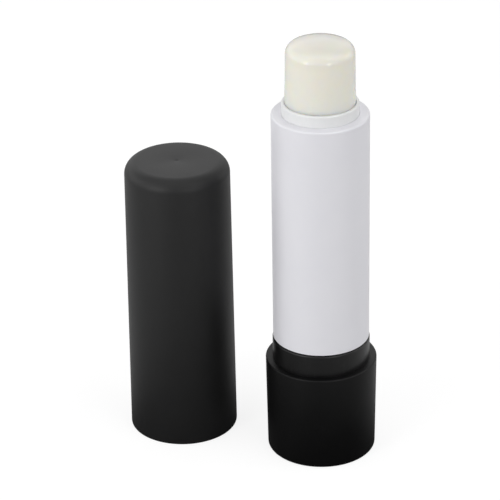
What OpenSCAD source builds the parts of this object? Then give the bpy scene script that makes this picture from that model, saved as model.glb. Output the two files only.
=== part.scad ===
/* [Balm] */
// Diameter of the balm inside the barrel
balm_d = 11.74; // [11:0.02:13]
// How much the balm's moulded nose narrows up to its round edge, on each side
nose_taper = 0.14; // [0.1:0.02:0.4]
// Length of the moulded nose
nose_len = 11.6; // [8:0.1:16]
// Round on the nose's edge
nose_edge = 1.8; // [1:0.1:2.6]
// Radius of the nose's crown
crown_r = 12; // [9:0.5:30]
// Depth of the balm's top below the lip when it is wound down
balm_depth = 1; // [0.2:0.1:2]
// Thickness of balm left above the spindle's tip
balm_over_tip = 5; // [3:0.1:8]
// How far the carrier is wound up from its lowest place
wound_up = 12.1; // [0:0.1:30]

/* [Inner barrel] */
// Wall of the barrel and its lip
barrel_wall = 0.5; // [0.4:0.05:0.8]
// How far the lip stands above the sleeve's shoulder
lip_rise = 2; // [1:0.1:3]
// Round on the lip's outer edge
lip_edge = 0.25; // [0.1:0.05:0.3]
// Chamfer on the lip's inner edge
lip_chamfer = 0.06; // [0.04:0.02:0.1]
// How far the flange at the barrel's foot stays inside the spigot's outside
flange_inset = 0.2; // [0.1:0.05:0.3]
// Thickness of the flange
flange_t = 1; // [0.8:0.1:2]
// Width of the two guide slots
slot_w = 1.7; // [1.2:0.1:2.4]

/* [Outer sleeve] */
// Length of the sleeve that shows
sleeve_len = 41.1; // [34:0.1:50]
// Wall of the sleeve where it shows
sleeve_wall = 1; // [0.6:0.05:1.2]
// How much the sleeve narrows up to its shoulder, on each side
sleeve_taper = 0.025; // [0:0.005:0.1]
// How much slimmer the sleeve is than the collar, on each side
sleeve_inset = 0.1; // [0.05:0.05:0.2]
// Thickness of the shoulder round the barrel
shoulder_t = 1.2; // [0.8:0.1:2]
// Round on the shoulder's edge
shoulder_edge = 0.35; // [0.1:0.05:0.6]
// Wall of the spigot that turns inside the collar
spigot_wall = 0.72; // [0.5:0.01:1]
// How far the snap bead stands out of the spigot
bead_proud = 0.25; // [0.1:0.05:0.35]
// How far the snap bead lies below the collar's top
bead_down = 2.2; // [1.5:0.1:3]

/* [Collar] */
// Wall of the collar that the cap seats on
collar_wall = 1.05; // [0.9:0.05:1.6]
// How far the collar stands above the grip
collar_rise = 4; // [3:0.1:7]
// Round on the collar's top edge
collar_edge = 0.3; // [0.1:0.05:0.4]
// How much slimmer the collar's skirt is, inside the grip
skirt_inset = 0.4; // [0.3:0.05:0.5]

/* [Grip] */
// Wall of the grip at its top
grip_wall = 1.56; // [1:0.02:2.5]
// How much the grip narrows down to its foot, on each side
grip_taper = 0.25; // [0:0.05:0.5]
// Height of the grip
grip_h = 17.2; // [14:0.1:24]
// Thickness of the grip's floor
grip_floor = 1.6; // [1:0.1:3]
// Round on the grip's top edge
grip_edge = 0.25; // [0.1:0.05:0.5]
// Round on the grip's foot edge
foot_edge = 0.45; // [0.2:0.05:1]

/* [Spindle] */
// Diameter of the spindle's shaft, at the root of its screw
shaft_d = 3.2; // [2.6:0.1:3.6]
// How far the screw's crest stands out of the shaft
screw_proud = 0.5; // [0.3:0.05:0.8]
// Rise of the carrier for one turn of the grip
screw_lead = 6; // [4:0.5:9]
// Number of the screw's starts
screw_starts = 2; // [1:1:3]
// Thickness of the spindle's foot disc
disc_t = 1.5; // [1:0.1:2.5]
// Diameter of the boss where the shaft meets the disc
boss_d = 7; // [6:0.1:8]
// Height of the boss above the disc
boss_h = 0.8; // [0.4:0.1:1]
// Width of the two keys on the disc
key_w = 2; // [1.5:0.1:3]
// How far the keys stand out of the disc
key_proud = 0.35; // [0.2:0.05:0.4]

/* [Carrier] */
// Length of the nut below the cup's floor
nut_len = 4; // [3:0.1:6]
// Wall of the nut outside its thread
nut_wall = 1.25; // [0.8:0.05:1.5]
// Thickness of the cup's floor
cup_floor = 1; // [0.8:0.1:1.5]
// Depth of the cup that holds the balm
cup_depth = 6; // [4:0.1:8]
// Wall of the cup
cup_wall = 0.6; // [0.5:0.05:0.8]
// Height of the two lugs that ride in the guide slots
lug_h = 2; // [1.5:0.1:3]
// Diameter of the four holes that key the balm in the cup's wall
cup_hole_d = 1.8; // [1:0.1:2.4]
// How far below the lip the cup's rim stops when it is wound right up
rim_stop = 3.4; // [1:0.1:8]

/* [Cap] */
// Wall of the cap at its mouth
cap_wall = 0.92; // [0.8:0.02:1.4]
// How much the cap narrows up to its top, on each side
cap_taper = 0.35; // [0:0.05:0.4]
// Room above the lip inside the cap
head_room = 1.3; // [0.5:0.1:6]
// Thickness of the cap's top
cap_top_t = 1.7; // [1.2:0.1:2]
// Round on the cap's top edge
cap_edge = 2.2; // [1.5:0.1:2.6]
// Round on the cap's mouth
mouth_edge = 0.25; // [0.1:0.05:0.3]
// Diameter of the shallow dimple in the cap's top
dimple_d = 3.4; // [2:0.1:6]
// Depth of the dimple
dimple_depth = 0.2; // [0.1:0.05:0.4]
// Diameter of the gate mark in the dimple
gate_d = 0.9; // [0.5:0.1:1.5]
// Where the cap stands beside the stick, across
cap_x = -24; // [-40:0.5:-20]
// Where the cap stands beside the stick, behind
cap_y = 8.5; // [-10:0.5:15]

/* [Clearances] */
// All round the balm inside the barrel
balm_clear = 0.07; // [0.05:0.01:0.1]
// All round a moulding that turns inside another
run_clear = 0.05; // [0.03:0.01:0.1]
// All round a moulding that is pressed or bonded in another
fit_clear = 0.04; // [0.02:0.01:0.06]
// All round the lugs and the cup, which slide in the barrel
slide_clear = 0.1; // [0.06:0.01:0.14]
// All round the screw inside the nut and the balm
screw_clear = 0.15; // [0.1:0.01:0.25]
// Along the axis between parts that turn or seat on each other
end_clear = 0.2; // [0.1:0.05:0.4]
// All round the collar inside the cap's seat
seat_clear = 0.08; // [0.05:0.01:0.1]
// All round the sleeve inside the cap
cap_clear = 0.12; // [0.1:0.01:0.15]

/* [Hidden] */
$fn = 96;
// Overrun of a cut past the face that it opens
over = 0.01;
// Steps in a rounded edge
edge_steps = 8;
// Points round one start of the screw, and its rings in one turn
start_points = 10;
turn_rings = 16;
// Half the crest and the flank of one start, as shares of its pitch
crest_share = 0.15;
flank_share = 0.2;

barrel_bore_r = balm_d / 2 + balm_clear;
barrel_r = barrel_bore_r + barrel_wall;
barrel_seat_r = barrel_r + fit_clear;
spigot_r = barrel_seat_r + spigot_wall;
flange_r = spigot_r - flange_inset;
collar_bore_r = spigot_r + run_clear;
collar_r = collar_bore_r + collar_wall;
skirt_r = collar_r - skirt_inset;
grip_bore_r = skirt_r + fit_clear;
grip_r = grip_bore_r + grip_wall;
sleeve_r = collar_r - sleeve_inset;
sleeve_top_r = sleeve_r - sleeve_taper;
seat_r = collar_r + seat_clear;
mouth_r = seat_r + cap_wall;
cap_top_r = mouth_r - cap_taper;
shaft_r = shaft_d / 2;
screw_r = shaft_r + screw_proud;
nut_r = screw_r + screw_clear + nut_wall;
cup_r = barrel_bore_r - slide_clear;
cup_bore_r = cup_r - cup_wall;
lug_r = barrel_r - slide_clear;
lug_w = slot_w - 2 * slide_clear;

disc_top = grip_floor + disc_t;
barrel_foot = disc_top + end_clear;
flange_top = barrel_foot + flange_t;
collar_top = grip_h + collar_rise;
sleeve_step = collar_top + end_clear;
shoulder_z = sleeve_step + sleeve_len;
lip_z = shoulder_z + lip_rise;
bead_z = collar_top - bead_down;
carrier_low = disc_top + boss_h + end_clear;
carrier_z = carrier_low + wound_up;
floor_up = nut_len + cup_floor;
balm_len = lip_z - balm_depth - carrier_low - floor_up;
tip_z = lip_z - balm_depth - balm_over_tip;
travel = lip_z - rim_stop - carrier_low - floor_up - cup_depth;
seat_len = collar_rise + end_clear;
cap_inside = lip_z - grip_h + head_room;
cap_h = cap_inside + cap_top_t;

// Points along a circle's arc, from one angle to another
function arc(x, y, r, from, to) = [
  for (i = [0:edge_steps])
    let (a = from + (to - from) * i / edge_steps) [x + r * cos(a), y + r * sin(a)]
];

// Half outline of a drafted round body with rounded edges at its foot and its top
function drafted(foot_r, top_r, foot, top, foot_round, top_round) = concat(
  [[0, foot]],
  arc(foot_r - foot_round, foot + foot_round, foot_round, -90, 0),
  arc(top_r - top_round, top - top_round, top_round, 0, 90),
  [[0, top]]
);

// Radius of the screw at an angle round it: a crest, a flank, a root and a flank for each start
function screw_at(a, root, crest) =
  let (turn = a * screw_starts / 360, u = turn - floor(turn), v = min(u, 1 - u))
    crest - (crest - root) * min(1, max(0, (v - crest_share) / flank_share));

module turned(points) rotate_extrude() polygon(points);

// A run of the screw between two heights, always in step with the surface that the stick stands on
module screw(root, crest, low, high) {
  n = screw_starts * start_points;
  rings = ceil((high - low) / screw_lead * turn_rings);
  points = [
    for (k = [0:rings], i = [0:n - 1])
      let (z = low + (high - low) * k / rings, a = 360 * i / n, r = screw_at(a, root, crest))
        [r * cos(a + 360 * z / screw_lead), r * sin(a + 360 * z / screw_lead), z]
  ];
  walls = [
    for (k = [0:rings - 1], i = [0:n - 1])
      let (a = k * n + i, b = k * n + (i + 1) % n) each [[a, a + n, b + n], [a, b + n, b]]
  ];
  polyhedron(points, concat(
    walls,
    [[for (i = [0:n - 1]) i], [for (i = [0:n - 1]) (rings + 1) * n - 1 - i]]
  ));
}

// Two bars that reach out to both sides
module keys(w, reach, h) for (side = [0, 180]) rotate(side)
  translate([0, -w / 2, 0]) cube([reach, w, h]);

module base_grip() color("#2a2a2b") difference() {
  turned(drafted(grip_r - grip_taper, grip_r, 0, grip_h, foot_edge, grip_edge));
  translate([0, 0, grip_floor]) cylinder(r = grip_bore_r, h = grip_h - grip_floor + over);
}

module collar() color("#1d1d1e") difference() {
  turned(concat(
    [[0, grip_floor], [skirt_r - collar_edge, grip_floor], [skirt_r, grip_floor + collar_edge]],
    [[skirt_r, grip_h], [collar_r, grip_h]],
    arc(collar_r - collar_edge, collar_top - collar_edge, collar_edge, 0, 90),
    [[0, collar_top]]
  ));
  translate([0, 0, grip_floor - over])
    cylinder(r = collar_bore_r, h = collar_top - grip_floor + 2 * over);
  translate([0, 0, bead_z - bead_proud - end_clear])
    cylinder(r = collar_bore_r + bead_proud, h = 2 * (bead_proud + end_clear));
  translate([0, 0, grip_floor - over]) keys(
    key_w + 2 * fit_clear, spigot_r + key_proud + fit_clear, disc_t + fit_clear + over
  );
}

module spindle() color("#e9e9ea") {
  translate([0, 0, grip_floor]) {
    cylinder(r = spigot_r, h = disc_t);
    keys(key_w, spigot_r + key_proud, disc_t);
  }
  translate([0, 0, disc_top - over]) cylinder(d = boss_d, h = boss_h + over);
  screw(shaft_r, screw_r, disc_top + boss_h / 2, tip_z - shaft_r);
  translate([0, 0, tip_z - shaft_r - over])
    cylinder(r1 = shaft_r, r2 = shaft_r / 2, h = shaft_r + over);
}

module outer_sleeve() color("#f2f2f4") difference() {
  union() {
    turned(concat(
      [[0, sleeve_step], [sleeve_r, sleeve_step]],
      arc(sleeve_top_r - shoulder_edge, shoulder_z - shoulder_edge, shoulder_edge, 0, 90),
      [[0, shoulder_z]]
    ));
    translate([0, 0, flange_top]) cylinder(r = spigot_r, h = sleeve_step - flange_top + over);
    translate([0, 0, bead_z]) turned([
      [0, -bead_proud], [spigot_r, -bead_proud], [spigot_r + bead_proud - run_clear, 0],
      [spigot_r, bead_proud], [0, bead_proud]
    ]);
  }
  translate([0, 0, flange_top - over])
    cylinder(r = barrel_seat_r, h = shoulder_z - flange_top + 2 * over);
  translate([0, 0, sleeve_step + shoulder_t])
    cylinder(r = sleeve_r - sleeve_wall, h = sleeve_len - 2 * shoulder_t);
}

module inner_barrel() color("#eeeeef") difference() {
  union() {
    turned(drafted(barrel_r, barrel_r, barrel_foot, lip_z, lip_edge, lip_edge));
    translate([0, 0, barrel_foot]) cylinder(r = flange_r, h = flange_t);
  }
  turned([
    [0, barrel_foot - over], [barrel_bore_r, barrel_foot - over],
    [barrel_bore_r, lip_z - lip_chamfer], [barrel_bore_r + lip_chamfer + over, lip_z + over],
    [0, lip_z + over]
  ]);
  translate([0, 0, carrier_low + nut_len - end_clear])
    keys(slot_w, barrel_r + over, travel + lug_h + 2 * end_clear);
}

module carrier() color("#f0f0f1") difference() {
  translate([0, 0, carrier_z]) difference() {
    union() {
      translate([0, 0, nut_len]) cylinder(r = cup_r, h = cup_floor + cup_depth);
      cylinder(r = nut_r, h = nut_len + over);
      translate([0, 0, nut_len]) keys(lug_w, lug_r, lug_h);
    }
    translate([0, 0, floor_up]) cylinder(r = cup_bore_r, h = cup_depth + over);
    for (side = [0:3]) rotate(45 + 90 * side)
      translate([cup_bore_r - cup_wall, 0, floor_up + cup_depth / 2]) rotate([0, 90, 0])
        cylinder(d = cup_hole_d, h = 3 * cup_wall);
  }
  screw(shaft_r + screw_clear, screw_r + screw_clear, carrier_z - over, carrier_z + floor_up + over);
}

module balm() color("#efecd9") translate([0, 0, carrier_z + floor_up]) {
  corner_x = balm_d / 2 - nose_taper - nose_edge;
  corner_y = balm_len - crown_r + sqrt(pow(crown_r - nose_edge, 2) - pow(corner_x, 2));
  lean = asin(corner_x / (crown_r - nose_edge));
  difference() {
    turned(concat(
      [[0, 0], [cup_bore_r - fit_clear, 0], [cup_bore_r - fit_clear, cup_depth]],
      [[balm_d / 2, cup_depth], [balm_d / 2, balm_len - nose_len]],
      arc(corner_x, corner_y, nose_edge, 0, 90 - lean),
      arc(0, balm_len - crown_r, crown_r, 90 - lean, 90)
    ));
    translate([0, 0, -over])
      cylinder(r = screw_r + screw_clear, h = tip_z + end_clear - carrier_low - floor_up + over);
  }
}

module cap() color("#2a2a2b") translate([cap_x, cap_y, 0]) difference() {
  turned(concat(
    [[0, 0]],
    arc(mouth_r - mouth_edge, mouth_edge, mouth_edge, -90, 0),
    arc(cap_top_r - cap_edge, cap_h - cap_edge, cap_edge, 0, 90),
    [[dimple_d / 2, cap_h], [gate_d / 2, cap_h - dimple_depth], [0, cap_h - dimple_depth / 2]]
  ));
  turned(drafted(sleeve_r + cap_clear, sleeve_top_r + cap_clear,
    -cap_edge, cap_inside, over, cap_edge - cap_top_t / 2));
  translate([0, 0, -over]) cylinder(r = seat_r, h = seat_len + over);
}

base_grip();
collar();
spindle();
outer_sleeve();
inner_barrel();
carrier();
balm();
cap();
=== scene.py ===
# %% [markdown]
# A twist-up lip balm stick, with its cap standing beside it.
# The real one is eight moulded pieces. A dark grip is turned against a white sleeve, and a screw
# inside lifts a cup that holds the wax.
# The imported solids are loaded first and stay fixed, and everything else is built around them in
# metres. +Z is up, and the stick's own axis is the Z axis.
# The cap, the grip and the wax are modelled again here, because rounds and skins that catch light
# are made more freely as meshes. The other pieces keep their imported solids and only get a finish.

# %% Load the frame
import math

import bmesh
import bpy
from mathutils import Matrix, Vector


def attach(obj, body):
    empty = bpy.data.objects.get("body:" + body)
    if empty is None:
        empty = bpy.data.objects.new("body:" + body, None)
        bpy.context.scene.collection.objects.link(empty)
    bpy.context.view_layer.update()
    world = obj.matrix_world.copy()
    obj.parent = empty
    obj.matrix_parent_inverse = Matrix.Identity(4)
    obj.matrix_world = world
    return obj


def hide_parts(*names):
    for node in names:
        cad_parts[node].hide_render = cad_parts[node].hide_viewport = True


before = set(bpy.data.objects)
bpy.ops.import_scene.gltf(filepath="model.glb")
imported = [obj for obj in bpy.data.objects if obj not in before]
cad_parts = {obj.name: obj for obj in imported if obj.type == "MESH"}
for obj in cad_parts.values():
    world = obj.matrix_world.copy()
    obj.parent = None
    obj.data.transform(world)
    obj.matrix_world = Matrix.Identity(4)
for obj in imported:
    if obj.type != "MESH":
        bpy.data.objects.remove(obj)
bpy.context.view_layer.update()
MM = 0.001
print("nodes:", sorted(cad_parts))

# %% [markdown]
# The camera looks down at the stick at about 27 degrees through a long lens, as for a product
# photograph. A long lens keeps the sides of a tall thin object nearly parallel, where a short one
# would pinch its foot.
# The lens is written as a focal length in pixels of a 500 pixel picture, because that is what can
# be measured, and it is turned into millimetres of a 36 mm sensor.

# %% Camera
# Place and distances in metres, and turns in radians
CAMERA_PLACE = Vector((-0.01190, -0.40787, 0.24490))
CAMERA_PITCH = 0.4706
CAMERA_ROLL = -0.0168
FRAME_PX = 500
FOCAL_PX = 2722.6
SENSOR_MM = 36.0
SEEN_FROM = 0.01
SEEN_UP_TO = 10.0

camera_data = bpy.data.cameras.new("camera")
camera_data.sensor_width = SENSOR_MM
camera_data.lens = FOCAL_PX * SENSOR_MM / FRAME_PX
camera_data.clip_start = SEEN_FROM
camera_data.clip_end = SEEN_UP_TO
camera = bpy.data.objects.new("camera", camera_data)
bpy.context.scene.collection.objects.link(camera)
tilt = Matrix.Rotation(math.pi / 2 - CAMERA_PITCH, 4, "X")
lean = Matrix.Rotation(CAMERA_ROLL, 4, "Z")
camera.matrix_world = Matrix.Translation(CAMERA_PLACE) @ tilt @ lean
bpy.context.scene.camera = camera
bpy.context.scene.view_settings.view_transform = "Standard"
print("lens:", round(camera_data.lens, 1), "mm")

# %% [markdown]
# Every finish here is built from nodes, and shader maths written node by node is hard to read.
# A small class wraps one socket, so that a sum such as 1 - mask adds its Math nodes by itself.
# Its node method adds any other node. Settings come first, because some of them change which
# sockets the node has, and then values or links go into the sockets.

# %% Shader sums
class Wire:
    """One output of a node tree. Sums on it add Math nodes."""

    def __init__(self, tree, socket=None):
        self.tree = tree
        self.socket = socket

    def node(self, kind, settings=None, inputs=None, output=0):
        made = self.tree.nodes.new(kind)
        for name, value in (settings or {}).items():
            setattr(made, name, value)
        for name, value in (inputs or {}).items():
            if isinstance(value, Wire):
                self.tree.links.new(value.socket, made.inputs[name])
            else:
                made.inputs[name].default_value = value
        return Wire(self.tree, made.outputs[output] if made.outputs else None)

    def math(self, operation, *values):
        return self.node("ShaderNodeMath", {"operation": operation}, dict(enumerate(values)))

    def __add__(self, other):
        return self.math("ADD", self, other)

    def __sub__(self, other):
        return self.math("SUBTRACT", self, other)

    def __rsub__(self, other):
        return self.math("SUBTRACT", other, self)

    def __mul__(self, other):
        return self.math("MULTIPLY", self, other)

    __radd__ = __add__
    __rmul__ = __mul__


def open_tree(owner):
    """Clears the nodes of a material or a world, and returns a wire to start from."""
    owner.use_nodes = True
    owner.node_tree.nodes.clear()
    return Wire(owner.node_tree)


# %% [markdown]
# The stick stands in a white room. To the camera, to reflections and to light that passes through,
# the room is plain white. As a light it is only a dim even fill, so the whites of the stick aren't
# burnt out. Light Path tells these rays apart.

# %% White room
ROOM_FILL = 0.18
WHITE = (1, 1, 1, 1)


def room_is_seen(start):
    """1 for rays that show the room itself, and 0 for rays that only light the stick."""
    seen = start.node("ShaderNodeLightPath", output="Is Camera Ray")
    ways = seen.socket.node.outputs
    for way in ("Is Glossy Ray", "Is Transmission Ray"):
        seen = seen.math("MAXIMUM", seen, Wire(start.tree, ways[way]))
    return seen


world = bpy.data.worlds.new("studio")
bpy.context.scene.world = world
start = open_tree(world)
fill = start.node("ShaderNodeBackground", None, {"Color": WHITE, "Strength": ROOM_FILL})
white = start.node("ShaderNodeBackground", None, {"Color": WHITE, "Strength": 1.0})
room = start.node("ShaderNodeMixShader", None, {0: room_is_seen(start), 1: fill, 2: white})
start.node("ShaderNodeOutputWorld", None, {"Surface": room})
print("room fill:", ROOM_FILL)

# %% [markdown]
# The floor is white and matt. The lamps stand low, so by themselves they would leave it grey. To
# the camera it therefore glows almost white, and the real light that falls on it adds the rest, so
# the stick still leaves its soft shadow.
# A reflection sees the floor by its real light alone, with a painted shade on it: a soft round
# patch in front of each piece is given a darker colour that no lamp casts. That painted shade is
# what darkens black plastic towards its foot, because the plastic mirrors the floor in front of it.
# Painting the plastic darker would look the same from here, but then it would be wrong from every
# other side.

# %% Floor
FLOOR_SIZE = 6.0
FLOOR_GLOW = (0.82, 0.82, 0.82, 1)
FLOOR_LIT = (0.25, 0.25, 0.25, 1)
FLOOR_MIRRORED = (0.85, 0.85, 0.85, 1)
# Painted shade: the darker floor colour that reflections see in the soft patch in front of each
# foot
FLOOR_PAINTED_SHADE = (0.14, 0.14, 0.14, 1)
SHADE_FROM = 12.0 * MM
SHADE_TO = 38.0 * MM
SHADE_IN_FRONT = 12.0 * MM
CAP_CENTRE = (-24.0 * MM, 8.5 * MM)
FLOOR_BOUNCE = (0.45, 0.45, 0.45, 1)
FEET = ((0, 0), CAP_CENTRE)

bpy.ops.object.select_all(action="DESELECT")
bpy.ops.mesh.primitive_plane_add(size=FLOOR_SIZE)
floor = bpy.context.active_object
floor.name = "floor"
floor_finish = bpy.data.materials.new("floor")
start = open_tree(floor_finish)
glow = start.node("ShaderNodeEmission", None, {"Color": FLOOR_GLOW, "Strength": 1.0})
lit = start.node("ShaderNodeBsdfDiffuse", None, {"Color": FLOOR_LIT})
to_camera = start.node("ShaderNodeAddShader", None, {0: glow, 1: lit})
on_floor = start.node("ShaderNodeTexCoord", output="Object")
from_shade = []
apart = {"operation": "DISTANCE"}
# The painted shade is laid round a point a little in front of each foot
for across, along in FEET:
    inputs = {0: on_floor, 1: (across, along - SHADE_IN_FRONT, 0)}
    from_shade.append(start.node("ShaderNodeVectorMath", apart, inputs, output="Value"))
nearest = start.math("MINIMUM", *from_shade)
inputs = {"Value": nearest, "From Min": SHADE_FROM, "From Max": SHADE_TO}
in_light = start.node("ShaderNodeMapRange", {"interpolation_type": "SMOOTHSTEP"}, inputs)
inputs = {0: in_light, 6: FLOOR_PAINTED_SHADE, 7: FLOOR_MIRRORED}
floor_with_painted_shade = start.node("ShaderNodeMix", {"data_type": "RGBA"}, inputs, output=2)
mirrored = start.node("ShaderNodeBsdfDiffuse", None, {"Color": floor_with_painted_shade})
is_glossy = start.node("ShaderNodeLightPath", output="Is Glossy Ray")
shown = start.node("ShaderNodeMixShader", None, {0: is_glossy, 1: to_camera, 2: mirrored})
bounce = start.node("ShaderNodeBsdfDiffuse", None, {"Color": FLOOR_BOUNCE})
ground = start.node("ShaderNodeMixShader", None, {0: room_is_seen(start), 1: bounce, 2: shown})
start.node("ShaderNodeOutputMaterial", None, {"Surface": ground})
floor.data.materials.append(floor_finish)
print("floor:", FLOOR_SIZE, "m")

# %% [markdown]
# Soft boxes stand round the stick. A large one and a narrow one, low in front on the left, do most
# of the work: low light falls squarely on upright walls, so the white sleeve is bright, while the
# floor and the black tops get little of it. The high boxes and the one overhead light what faces
# up: the crown of the wax, the shoulder of the sleeve and the cap's top. The boxes at both sides
# and behind draw the pale edges of the black pieces.
# The two narrow upright strips also leave the two bright spots on the rounded edge of the wax. The
# edge curves far more tightly from top to bottom than round the stick, so it flattens what it
# mirrors: a tall strip shrinks to a spot, and a small square lamp would be too thin a line to see.

# %% Lamps
AIM = Vector((-0.012, 0.004, 0.035))
LAMPS_AWAY = 0.50


def softbox(name, azimuth, elevation, size, watts):
    """An area lamp that faces the stick. Azimuth 0 is in front of it, and 90 is to its right."""
    turn, rise = math.radians(azimuth), math.radians(elevation)
    level = math.cos(rise)
    away = Vector((math.sin(turn) * level, -math.cos(turn) * level, math.sin(rise)))
    lamp_data = bpy.data.lights.new(name, "AREA")
    lamp_data.shape = "RECTANGLE"
    lamp_data.size, lamp_data.size_y = size
    lamp_data.energy = watts
    lamp = bpy.data.objects.new(name, lamp_data)
    lamp.location = AIM + away * LAMPS_AWAY
    lamp.rotation_euler = (-away).to_track_quat("-Z", "Y").to_euler()
    bpy.context.scene.collection.objects.link(lamp)
    return lamp


# Name, azimuth and elevation in degrees, width and height in metres, and watts
LAMPS = (
    ("front_left_box", -50, 14, (0.50, 0.40), 0.58),
    ("high_left_box", -60, 50, (0.40, 0.30), 0.34),
    ("high_right_box", 60, 45, (0.40, 0.30), 0.74),
    ("top_box", 0, 88, (0.40, 0.40), 0.38),
    ("left_side_box", -100, 15, (0.30, 0.25), 0.44),
    ("right_side_box", 100, 15, (0.30, 0.25), 0.44),
    ("back_box", 180, 38, (0.50, 0.30), 0.33),
    ("back_left_box", -140, 20, (0.30, 0.25), 0.14),
    ("left_strip", -45, 12, (0.13, 0.22), 0.64),
    ("right_strip", 28, 9, (0.11, 0.22), 0.42),
)
for lamp in LAMPS:
    softbox(*lamp)
print("lamps:", [lamp[0] for lamp in LAMPS])

# %% [markdown]
# The pieces are modelled as by hand: a cylinder is added at its place and size, and then faces are
# picked by where they are and inset, extruded or bevelled. A profile spun on an axis would give
# the same rounds, but here each step can be named after what the mould maker did.
# The place of each primitive is applied before shaping, so the object stays at the origin and
# every number below is a height or a radius on the real stick.

# %% Shaping by hand
SIDES = 128
NEAR = 0.004 * MM
SAME_POINT = 0.0005 * MM
SMOOTH_UP_TO = math.radians(35)


def begin(name, radius, low, high, centre=(0, 0)):
    """Adds an upright cylinder between two heights and opens it for shaping."""
    bpy.ops.object.select_all(action="DESELECT")
    place = (*centre, (low + high) / 2)
    bpy.ops.mesh.primitive_cylinder_add(
        vertices=SIDES, radius=radius, depth=high - low, location=place
    )
    piece = bpy.context.active_object
    piece.name = piece.data.name = name
    bpy.ops.object.transform_apply(location=True, rotation=False, scale=False)
    bpy.ops.object.mode_set(mode="EDIT")
    return piece


def pick(piece, test, kind="FACE"):
    """Selects only those faces or edges of the open piece that pass a test."""
    bpy.ops.mesh.select_mode(type=kind)
    bpy.ops.mesh.select_all(action="DESELECT")
    shape = bmesh.from_edit_mesh(piece.data)
    parts = [part for part in (shape.faces if kind == "FACE" else shape.edges) if test(part)]
    for part in parts:
        part.select_set(True)
    bmesh.update_edit_mesh(piece.data)
    return len(parts)


def pick_end(piece, height):
    """Selects the round face that closes the piece at a height."""
    def closes(face):
        return len(face.verts) == SIDES and abs(face.verts[0].co.z - height) < NEAR
    return pick(piece, closes)


def round_ring(piece, radius, height, by, steps, centre=(0, 0)):
    """Rounds the edge that runs round the piece at a radius and a height."""
    def on_ring(edge):
        return all(
            abs(math.hypot(point.co.x - centre[0], point.co.y - centre[1]) - radius) < NEAR
            and abs(point.co.z - height) < NEAR
            for point in edge.verts
        )
    found = pick(piece, on_ring, "EDGE")
    bpy.ops.mesh.bevel(offset=by, segments=steps, affect="EDGES")
    return found


def close(piece):
    """Ends the shaping, turns the faces outwards and smooths the rounds."""
    bpy.ops.mesh.select_all(action="SELECT")
    bpy.ops.mesh.remove_doubles(threshold=SAME_POINT)
    bpy.ops.mesh.normals_make_consistent(inside=False)
    bpy.ops.object.mode_set(mode="OBJECT")
    bpy.ops.object.shade_smooth_by_angle(angle=SMOOTH_UP_TO)
    low, high = (Vector(corner) for corner in (piece.bound_box[0], piece.bound_box[6]))
    size = [round(v / MM, 2) for v in high - low]
    print(piece.name, len(piece.data.polygons), "faces,", size, "mm")


# %% [markdown]
# The cap is one deep cup, moulded through a gate in the middle of its top. It is slightly narrower
# at the top, so that it leaves the mould, and its top edge is rounded widely for the hand.
# The top is dished by a few hundredths of a millimetre, so that the mark of the gate in its middle
# stays below the surface the cap is stood on. Both hardly show, but they are what makes the top
# look moulded rather than drawn.

# %% Cap
CAP_HIGH = 50.3 * MM
CAP_MOUTH_R = 9.3 * MM
CAP_TOP_R = 8.95 * MM
CAP_ROUND = 2.2 * MM
CAP_ROUND_STEPS = 12
CAP_SEAT_R = 8.38 * MM
CAP_SEAT_HIGH = 4.2 * MM
CAP_INSIDE_R = 8.32 * MM
CAP_INSIDE_TOP_R = 8.295 * MM
CAP_INSIDE_HIGH = 48.6 * MM
CAP_INSIDE_ROUND = 1.35 * MM
CAP_INSIDE_STEPS = 6
MOUTH_ROUND = 0.25 * MM
MOUTH_STEPS = 4
DISH_R = 3.1 * MM
# Rings of the dish and the gate mark, from the rim inwards, in mm: how far in, and how far up
GATE_RINGS = ((0.40, -0.03), (2.20, -0.01), (0.10, -0.02), (0.20, -0.06))

cap = begin("cap_shell", CAP_MOUTH_R, 0, CAP_HIGH, CAP_CENTRE)
pick_end(cap, CAP_HIGH)
draft = CAP_TOP_R / CAP_MOUTH_R
bpy.ops.transform.resize(value=(draft, draft, 1), center_override=(*CAP_CENTRE, CAP_HIGH))
round_ring(cap, CAP_TOP_R, CAP_HIGH, CAP_ROUND, CAP_ROUND_STEPS, CAP_CENTRE)
pick_end(cap, CAP_HIGH)
bpy.ops.mesh.inset(thickness=CAP_TOP_R - CAP_ROUND - DISH_R)
for inwards, upwards in GATE_RINGS:
    bpy.ops.mesh.inset(thickness=inwards * MM, depth=upwards * MM)

# %% [markdown]
# The inside is pushed in from the mouth: first the seat that grips the collar, then a step
# inwards, and then the long bore that clears the sleeve and the wax.

# %% Inside of the cap
pick_end(cap, 0)
bpy.ops.mesh.inset(thickness=CAP_MOUTH_R - CAP_SEAT_R)
bpy.ops.mesh.extrude_region_move(TRANSFORM_OT_translate={"value": (0, 0, CAP_SEAT_HIGH)})
bpy.ops.mesh.inset(thickness=CAP_SEAT_R - CAP_INSIDE_R)
bpy.ops.mesh.extrude_region_move(
    TRANSFORM_OT_translate={"value": (0, 0, CAP_INSIDE_HIGH - CAP_SEAT_HIGH)}
)
draft = CAP_INSIDE_TOP_R / CAP_INSIDE_R
bpy.ops.transform.resize(value=(draft, draft, 1), center_override=(*CAP_CENTRE, CAP_INSIDE_HIGH))
round_ring(
    cap, CAP_INSIDE_TOP_R, CAP_INSIDE_HIGH, CAP_INSIDE_ROUND, CAP_INSIDE_STEPS, CAP_CENTRE
)
round_ring(cap, CAP_MOUTH_R, 0, MOUTH_ROUND, MOUTH_STEPS, CAP_CENTRE)
close(cap)
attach(cap, "loose_cap")
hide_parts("cap")

# %% [markdown]
# The grip is a cup the other way up: the hand turns it, and the collar is pressed into it. Its
# foot is a little narrower than its rim, and its rim is a flat ring that catches the light from
# above.

# %% Grip
GRIP_R = 9.5 * MM
GRIP_FOOT_R = 9.25 * MM
GRIP_HIGH = 17.2 * MM
GRIP_BORE_R = 7.94 * MM
GRIP_FLOOR = 1.6 * MM
RIM_ROUND = 0.25 * MM
FOOT_ROUND = 0.45 * MM
GRIP_ROUND_STEPS = 5

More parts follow.
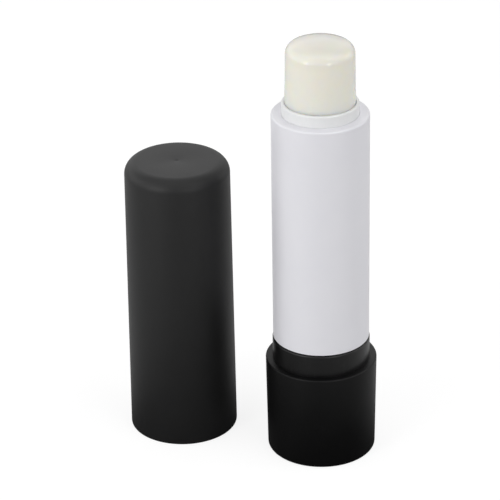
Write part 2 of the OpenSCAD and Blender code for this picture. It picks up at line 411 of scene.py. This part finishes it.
grip = begin("grip_shell", GRIP_R, 0, GRIP_HIGH)
pick_end(grip, 0)
draft = GRIP_FOOT_R / GRIP_R
bpy.ops.transform.resize(value=(draft, draft, 1), center_override=(0, 0, 0))
pick_end(grip, GRIP_HIGH)
bpy.ops.mesh.inset(thickness=GRIP_R - GRIP_BORE_R)
bpy.ops.mesh.extrude_region_move(TRANSFORM_OT_translate={"value": (0, 0, GRIP_FLOOR - GRIP_HIGH)})
round_ring(grip, GRIP_R, GRIP_HIGH, RIM_ROUND, GRIP_ROUND_STEPS)
round_ring(grip, GRIP_FOOT_R, 0, FOOT_ROUND, GRIP_ROUND_STEPS)
close(grip)
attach(grip, "base")
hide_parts("base_grip")

# %% [markdown]
# The wax is poured into the barrel and against a shaped top, so it is a plain stick with a low
# crown and a widely rounded edge. It narrows a little towards the crown, because the top mould has
# draft. Wax shrinks as it sets, so its skin is never quite true. That is added at the end by
# pushing the skin inwards by a few hundredths of a millimetre, never outwards, because the barrel
# fits closely. It is hollow from below, and the bore runs so far up that the screw still fits in
# when the wax is wound all the way down.

# %% Wax
WAX_R = 5.91 * MM
WAX_LOW = 21.2 * MM
WAX_HIGH = 75.6 * MM
WAX_PLUG_R = 5.20 * MM
WAX_PLUG_HIGH = 6.0 * MM
WAX_NOSE = 11.6 * MM
WAX_NOSE_TAPER = 0.17 * MM
WAX_ROUND = 1.8 * MM
WAX_ROUND_STEPS = 10
CROWN_R = 12.0 * MM
CROWN_RING_RADII = (4.1 * MM, 3.4 * MM, 2.7 * MM, 2.0 * MM, 1.3 * MM, 0.6 * MM, 0.1 * MM)
WAX_BORE_R = 2.25 * MM
WAX_BORE_TOP = 70.8 * MM

edge_r = WAX_R - WAX_NOSE_TAPER
crown_drop = CROWN_R - math.sqrt(CROWN_R ** 2 - edge_r ** 2)
edge_high = WAX_HIGH - crown_drop
wax = begin("wax_stick", WAX_R, WAX_LOW + WAX_PLUG_HIGH, WAX_HIGH - WAX_NOSE)
pick_end(wax, WAX_HIGH - WAX_NOSE)
bpy.ops.mesh.extrude_region_move(TRANSFORM_OT_translate={"value": (0, 0, WAX_NOSE - crown_drop)})
draft = edge_r / WAX_R
bpy.ops.transform.resize(value=(draft, draft, 1), center_override=(0, 0, edge_high))
outer = edge_r
for inner in CROWN_RING_RADII:
    lift = math.sqrt(CROWN_R ** 2 - inner ** 2) - math.sqrt(CROWN_R ** 2 - outer ** 2)
    bpy.ops.mesh.inset(thickness=outer - inner, depth=lift)
    outer = inner
crown_slope = math.asin(edge_r / CROWN_R)
edge_cut = WAX_ROUND * math.tan((math.pi / 2 - crown_slope) / 2)
round_ring(wax, edge_r, edge_high, edge_cut, WAX_ROUND_STEPS)
pick_end(wax, WAX_LOW + WAX_PLUG_HIGH)
bpy.ops.mesh.inset(thickness=WAX_R - WAX_PLUG_R)
bpy.ops.mesh.extrude_region_move(TRANSFORM_OT_translate={"value": (0, 0, -WAX_PLUG_HIGH)})
bpy.ops.mesh.inset(thickness=WAX_PLUG_R - WAX_BORE_R)
bpy.ops.mesh.extrude_region_move(TRANSFORM_OT_translate={"value": (0, 0, WAX_BORE_TOP - WAX_LOW)})

# %% [markdown]
# The skin is pushed about by a cloud pattern, and only points can move, so the plain side first
# gets rings of points where it shows. The operator that cuts with a plane adds one ring at a time.

# %% Skin of the wax
RINGS_FROM = 58.0 * MM
RING_STEP = 1.0 * MM
SKIN_DEPTH = 0.04 * MM
SKIN_SIZE = 3.5 * MM

height = RINGS_FROM
while height < edge_high - WAX_ROUND:
    bpy.ops.mesh.select_all(action="SELECT")
    bpy.ops.mesh.bisect(plane_co=(0, 0, height), plane_no=(0, 0, 1))
    height += RING_STEP
close(wax)
cloud = bpy.data.textures.new("wax_skin", "CLOUDS")
cloud.noise_scale = SKIN_SIZE
skin = wax.modifiers.new("skin", "DISPLACE")
skin.texture = cloud
skin.strength = -SKIN_DEPTH
skin.mid_level = 0.0
bpy.ops.object.modifier_apply(modifier=skin.name)
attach(wax, "elevator")
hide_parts("balm")

# %% [markdown]
# The finishes share a few small helpers. Each pattern is worked out in space from the object's own
# coordinates, so it stays with the piece as it moves, and it is given in features to the
# millimetre, because that is how one would judge it with a lens.

# %% Helpers for finishes
def object_place(material):
    """Clears a material and returns the wire of its object's own coordinates."""
    return open_tree(material).node("ShaderNodeTexCoord", output="Object")


def cloudy(place, per_mm, detail=2.0):
    """A soft random pattern between 0 and 1."""
    inputs = {"Vector": place, "Scale": per_mm / MM, "Detail": detail}
    return place.node("ShaderNodeTexNoise", None, inputs)


def stretched(place, by):
    """The same coordinates, scaled along each axis: less than 1 draws a pattern out."""
    return place.node("ShaderNodeMapping", None, {"Vector": place, "Scale": by})


def rise(value, low, high):
    """0 below low and 1 above high, with a soft step between them."""
    inputs = {"Value": value, "From Min": low, "From Max": high}
    return value.node("ShaderNodeMapRange", {"interpolation_type": "SMOOTHSTEP"}, inputs)


def between(share, first, second):
    """A colour between two colours."""
    inputs = {0: share, 6: (*first, 1), 7: (*second, 1)}
    return share.node("ShaderNodeMix", {"data_type": "RGBA"}, inputs, output=2)


def end_in_plastic(place, colour, roughness, height, depth, fixed):
    """Ends a finish in a Principled shader, with a relief of that depth and its fixed values."""
    relief = place.node("ShaderNodeBump", None, {"Height": height, "Distance": depth})
    inputs = {"Base Color": colour, "Roughness": roughness, "Normal": relief, **fixed}
    shader = place.node("ShaderNodeBsdfPrincipled", None, inputs)
    place.node("ShaderNodeOutputMaterial", None, {"Surface": shader})


def dress(piece, material):
    """Gives every face of a piece one finish."""
    if not piece.material_slots:
        piece.data.materials.append(material)
    for place in piece.material_slots:
        place.material = material
    print(piece.name, "wears", material.name)


# %% [markdown]
# The cap and the grip have a soft-touch finish: black plastic with a spark-eroded grain so fine
# that it reads as matt. It is darkest where it is newest, with faint clouds where it has been
# handled. The grain is a relief of a few thousandths of a millimetre. The clouds change how rough
# it is more than how dark it is, because skin leaves a thin film and no colour.
# The grip has the same grain with darker colours and a lower specular level, so it renders a deeper
# black.

# %% Soft-touch black
GRAIN_PER_MM = 7.0
GRAIN_DEPTH = 0.006 * MM
CLOUDS_PER_MM = 0.22
CLOUDS_DETAIL = 4.0
HANDLED_PER_MM = 0.07
HANDLED_BETWEEN = (0.50, 0.72)
CLOUDS_ROUGHEN = 0.06
GRAIN_ROUGHENS = 0.05
HANDS_SMOOTH = 0.05
# Deep black, bloomed black, how matt and how glossy
CAP_FINISH = ((0.0042, 0.0042, 0.0043), (0.0064, 0.0064, 0.0066), 0.52, 0.27)
GRIP_FINISH = ((0.0013, 0.0013, 0.0014), (0.0022, 0.0022, 0.0023), 0.45, 0.13)


def soft_touch(name, black, bloom, matt, gloss):
    """Grained black plastic, from its deep black to its bloomed black."""
    material = bpy.data.materials.new(name)
    place = object_place(material)
    clouds = cloudy(place, CLOUDS_PER_MM, CLOUDS_DETAIL)
    grain = cloudy(place, GRAIN_PER_MM)
    handled = rise(cloudy(place, HANDLED_PER_MM, detail=1.0), *HANDLED_BETWEEN)
    colour = between(clouds, black, bloom)
    mottled = CLOUDS_ROUGHEN * (clouds - 0.5) + GRAIN_ROUGHENS * (grain - 0.5)
    roughness = matt + mottled - HANDS_SMOOTH * handled
    fixed = {"Specular IOR Level": gloss}
    end_in_plastic(place, colour, roughness, grain, GRAIN_DEPTH, fixed)
    return material


cap_black = soft_touch("soft_touch_black", *CAP_FINISH)
grip_black = soft_touch("deep_soft_black", *GRIP_FINISH)
dress(cap, cap_black)
dress(grip, grip_black)

# %% [markdown]
# The collar is the same black plastic without the grain, so it is a little glossier. The cap rubs
# along it each time it goes on, and leaves faint upright lines.
# The lines are a fine pattern drawn out along Z. They only show in the gloss.

# %% Satin black
RUB_PER_MM = 5.0
RUB_DRAWN_OUT = (1.0, 1.0, 0.04)
RUB_DEPTH = 0.003 * MM
RUBBED_BETWEEN = (0.56, 0.70)
COLLAR_BLACK = (0.0034, 0.0034, 0.0035)
COLLAR_WORN = (0.0062, 0.0062, 0.0063)
COLLAR_MATT = 0.33
COLLAR_GLOSS = 0.25
WEAR_ROUGHENS = 0.10

satin_black = bpy.data.materials.new("satin_black")
place = object_place(satin_black)
rubbed = cloudy(stretched(place, RUB_DRAWN_OUT), RUB_PER_MM, detail=3.0)
worn = rise(rubbed, *RUBBED_BETWEEN)
colour = between(worn, COLLAR_BLACK, COLLAR_WORN)
roughness = COLLAR_MATT + WEAR_ROUGHENS * worn
fixed = {"Specular IOR Level": COLLAR_GLOSS}
end_in_plastic(place, colour, roughness, rubbed, RUB_DEPTH, fixed)
dress(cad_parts["collar"], satin_black)

# %% [markdown]
# The sleeve is white plastic with a satin face. Its white is very slightly blue, as whites are
# made to look clean. Seen close, such a wall isn't flat: it has a shallow orange peel, a few
# millimetres from hill to hill, and under that the fine grain of the mould.

# %% Satin white
PEEL_PER_MM = 0.55
WHITE_GRAIN_PER_MM = 6.0
WHITE_RELIEF = 0.004 * MM
SLEEVE_WHITE = (0.755, 0.752, 0.795)
SLEEVE_PALEST = (0.785, 0.780, 0.815)
SLEEVE_MATT = 0.34
PEEL_SHARE = 0.8

satin_white = bpy.data.materials.new("satin_white")
place = object_place(satin_white)
peel = cloudy(place, PEEL_PER_MM, detail=1.0)
grain = cloudy(place, WHITE_GRAIN_PER_MM)
tint = cloudy(place, CLOUDS_PER_MM, detail=3.0)
colour = between(tint, SLEEVE_WHITE, SLEEVE_PALEST)
roughness = SLEEVE_MATT + CLOUDS_ROUGHEN * (tint - 0.5) + GRAIN_ROUGHENS * (grain - 0.5)
height = PEEL_SHARE * peel + (1 - PEEL_SHARE) * grain
end_in_plastic(place, colour, roughness, height, WHITE_RELIEF, {})
dress(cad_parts["outer_sleeve"], satin_white)

# %% [markdown]
# The barrel, the screw and the cup are left in the natural white of their plastic. It is slightly
# milky: light goes a little way in, which softens the thin lip round the wax.
# Flow marks run up the barrel, from the gate at its foot.

# %% Natural white
FLOW_DRAWN_OUT = (1.0, 1.0, 0.15)
FLOW_PER_MM = 0.8
BARREL_WHITE = (0.765, 0.772, 0.780)
BARREL_PALEST = (0.795, 0.800, 0.805)
BARREL_MATT = 0.32
FLOW_ROUGHENS = 0.08
MILKY_SHARE = 0.25
MILKY_REACH = 1.2 * MM
MILKY_REACH_BY_COLOUR = (1.0, 1.0, 1.1)

natural_white = bpy.data.materials.new("natural_white")
place = object_place(natural_white)
flow = cloudy(stretched(place, FLOW_DRAWN_OUT), FLOW_PER_MM, detail=3.0)
colour = between(flow, BARREL_WHITE, BARREL_PALEST)
roughness = BARREL_MATT + FLOW_ROUGHENS * (flow - 0.5)
fixed = {
    "Subsurface Weight": MILKY_SHARE,
    "Subsurface Radius": MILKY_REACH_BY_COLOUR,
    "Subsurface Scale": MILKY_REACH,
}
end_in_plastic(place, colour, roughness, flow, WHITE_RELIEF, fixed)
for node in ("inner_barrel", "spindle", "carrier"):
    dress(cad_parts[node], natural_white)

# %% [markdown]
# Wax lets light in a few millimetres and sends it back softened, and red light goes further than
# blue. That is its whole look: without it, the same cream colour would be painted plaster.
# Its rounded top is painted a touch deeper in colour: a painted shade, which holds down the light
# that falls on it from above. The skin has wide shallow ripples from setting, and a few pores where
# bubbles rose. It is smooth but only faintly glossy.

# %% Wax finish
RIPPLES_PER_MM = 0.30
PORES_PER_MM = 1.1
PORE_EDGE = (0.04, 0.12)
WAX_RELIEF = 0.02 * MM
# Painted shade on the crown: from this height up the wax colour deepens, where the most light falls
# from above
TOP_SHADE_FROM = 71.5 * MM
TOP_SHADE_FULL_FROM = 74.0 * MM
PALE_WAX = (0.820, 0.808, 0.738)
RIPPLED_AND_SHADED_WAX = (0.740, 0.729, 0.668)
WAX_MATT = 0.13
WAX_GLOSS = 0.42
RIPPLES_ROUGHEN = 0.05
RIPPLES_SHARE = 0.8
TOP_SHADE_SHARE = 0.75
WAX_REACH = 3.5 * MM
WAX_REACH_BY_COLOUR = (1.0, 0.8, 0.5)

balm_wax = bpy.data.materials.new("balm_wax")
place = object_place(balm_wax)
ripples = cloudy(place, RIPPLES_PER_MM)
inputs = {"Vector": place, "Scale": PORES_PER_MM / MM, "Randomness": 1.0}
pore_cells = place.node("ShaderNodeTexVoronoi", None, inputs)
height = place.node("ShaderNodeSeparateXYZ", None, {"Vector": place}, output="Z")
no_pore = rise(pore_cells, *PORE_EDGE)
# Painted shade towards the crown, mixed with the random tone of the ripples
painted_top_shade = rise(height, TOP_SHADE_FROM, TOP_SHADE_FULL_FROM)
ripples_and_painted_shade = TOP_SHADE_SHARE * painted_top_shade + (1 - TOP_SHADE_SHARE) * ripples
colour = between(ripples_and_painted_shade, PALE_WAX, RIPPLED_AND_SHADED_WAX)
roughness = WAX_MATT + RIPPLES_ROUGHEN * (ripples - 0.5)
fixed = {
    "Specular IOR Level": WAX_GLOSS,
    "Subsurface Weight": 1.0,
    "Subsurface Radius": WAX_REACH_BY_COLOUR,
    "Subsurface Scale": WAX_REACH,
}
skin_height = RIPPLES_SHARE * ripples + (1 - RIPPLES_SHARE) * no_pore
end_in_plastic(place, colour, roughness, skin_height, WAX_RELIEF, fixed)
dress(wax, balm_wax)
